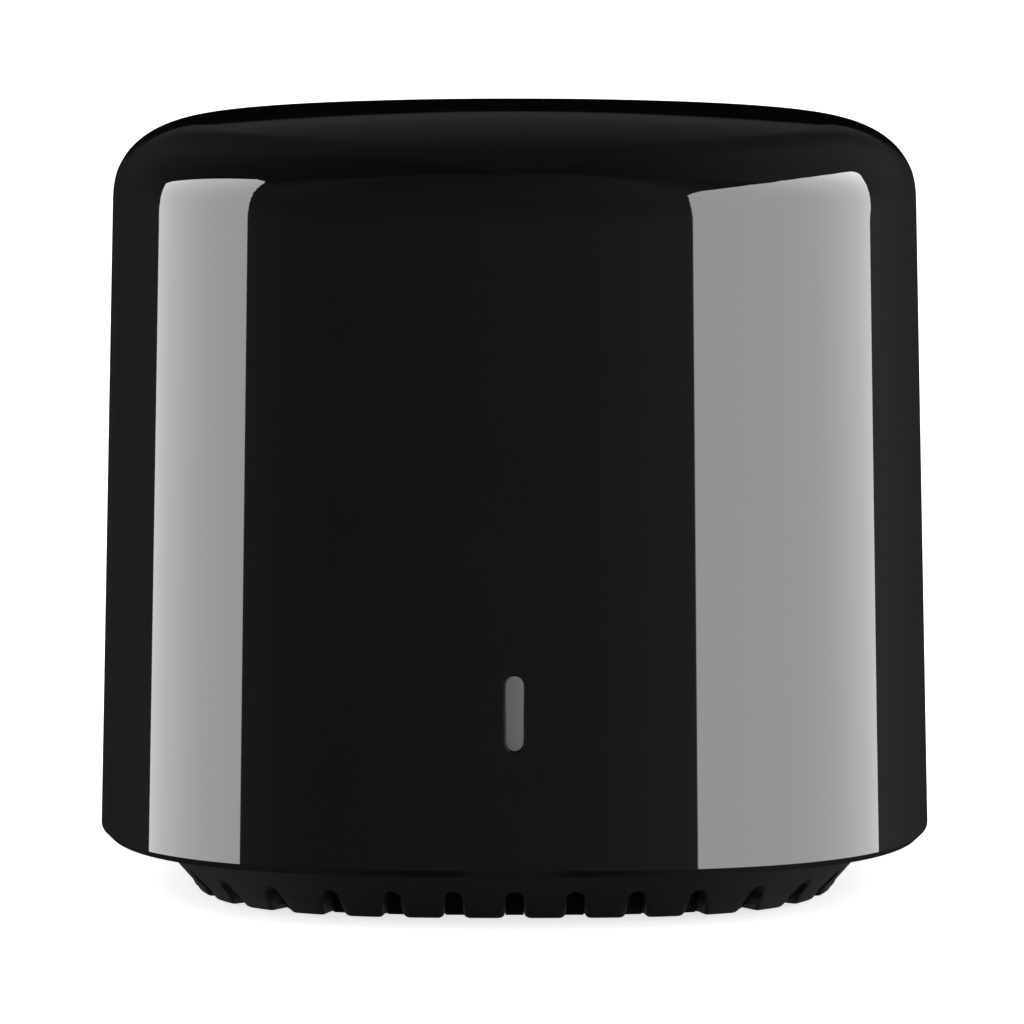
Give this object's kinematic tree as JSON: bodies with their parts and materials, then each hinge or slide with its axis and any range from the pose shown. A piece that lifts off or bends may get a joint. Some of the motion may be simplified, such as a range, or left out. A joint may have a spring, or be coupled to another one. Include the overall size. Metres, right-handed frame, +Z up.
{
  "type": "smart ir blaster",
  "caption": "Small rounded-square infrared remote hub in gloss black, with a slotted flared foot, an upright status bar, a recessed rear power inlet and a reset button.",
  "frame": {"origin": "middle of the underside of the rubber pad, on the surface that the object stands on", "axes": "+Z up, -Y is the front with the status bar, +Y is the rear with the power inlet, +X is to the right as seen from the front"},
  "size_m": [0.046, 0.046, 0.043],
  "materials": {
    "shell_gloss": "polished piano-black, clear to infrared",
    "light_guide": "milky grey light guide, unlit",
    "base_satin": "fine satin moulded black",
    "pad_rubber": "matt black silicone rubber",
    "board_laminate": "green solder mask on glass laminate",
    "screw_steel": "nickel-plated steel",
    "socket_steel": "nickel-plated stamped steel",
    "black_resin": "matt black moulded resin",
    "gold_plating": "thin gold plating",
    "button_gloss": "satin-gloss black",
    "tinned_sheet": "tin-plated sheet and wire",
    "plunger_red": "moulded red",
    "led_white": "white moulded housing",
    "module_laminate": "blue solder mask on glass laminate",
    "ferrite": "dark grey ferrite",
    "can_aluminium": "drawn aluminium can",
    "chip_ceramic": "fired ceramic, tan",
    "lamp_epoxy": "clear cast epoxy",
    "receiver_epoxy": "dark infrared-pass epoxy"
  },
  "bodies": {
    "housing": {"outer_shell": "shell_gloss", "light_pipe": "light_guide", "base": "base_satin", "rubber_pad": "pad_rubber", "main_board": "board_laminate", "board_screws": "screw_steel", "usb_socket_shell": "socket_steel", "usb_tongue": "black_resin", "usb_contacts": "gold_plating", "switch_body": "black_resin", "switch_cover": "tinned_sheet", "status_led": "led_white", "wifi_board": "module_laminate", "wifi_shield": "tinned_sheet", "wifi_antenna": "gold_plating", "voltage_regulator": "black_resin", "power_inductor": "ferrite", "capacitor_can": "can_aluminium", "capacitor_base": "black_resin", "memory_chip": "black_resin", "crystal": "tinned_sheet", "lamp_drivers": "black_resin", "chip_resistors": "black_resin", "chip_capacitors": "chip_ceramic", "header_block": "black_resin", "header_pins": "gold_plating", "ir_board": "board_laminate", "lamp_holder": "base_satin", "holder_screws": "screw_steel", "ir_lamp_1": "lamp_epoxy", "ir_lamp_2": "lamp_epoxy", "ir_lamp_3": "lamp_epoxy", "ir_lamp_4": "lamp_epoxy", "ir_lamp_5": "lamp_epoxy", "ir_lamp_6": "lamp_epoxy", "ir_lamp_top": "lamp_epoxy", "lamp_leads": "tinned_sheet", "ir_receiver": "receiver_epoxy", "receiver_leads": "tinned_sheet"},
    "button": {"reset_button": "button_gloss"},
    "plunger": {"switch_plunger": "plunger_red"}
  },
  "joints": [
    {"name": "button_press", "type": "slide", "parent": "housing", "child": "button", "axis": [0, -1, 0], "range_m": [0, 0.00025], "stiffness_N_per_m": 300},
    {"name": "plunger_press", "type": "slide", "parent": "housing", "child": "plunger", "axis": [0, -1, 0], "range_m": [0, 0.00025], "stiffness_N_per_m": 100}
  ],
  "couplings": [
    {"joint": "plunger_press", "follows": "button_press", "ratio": 1}
  ]
}
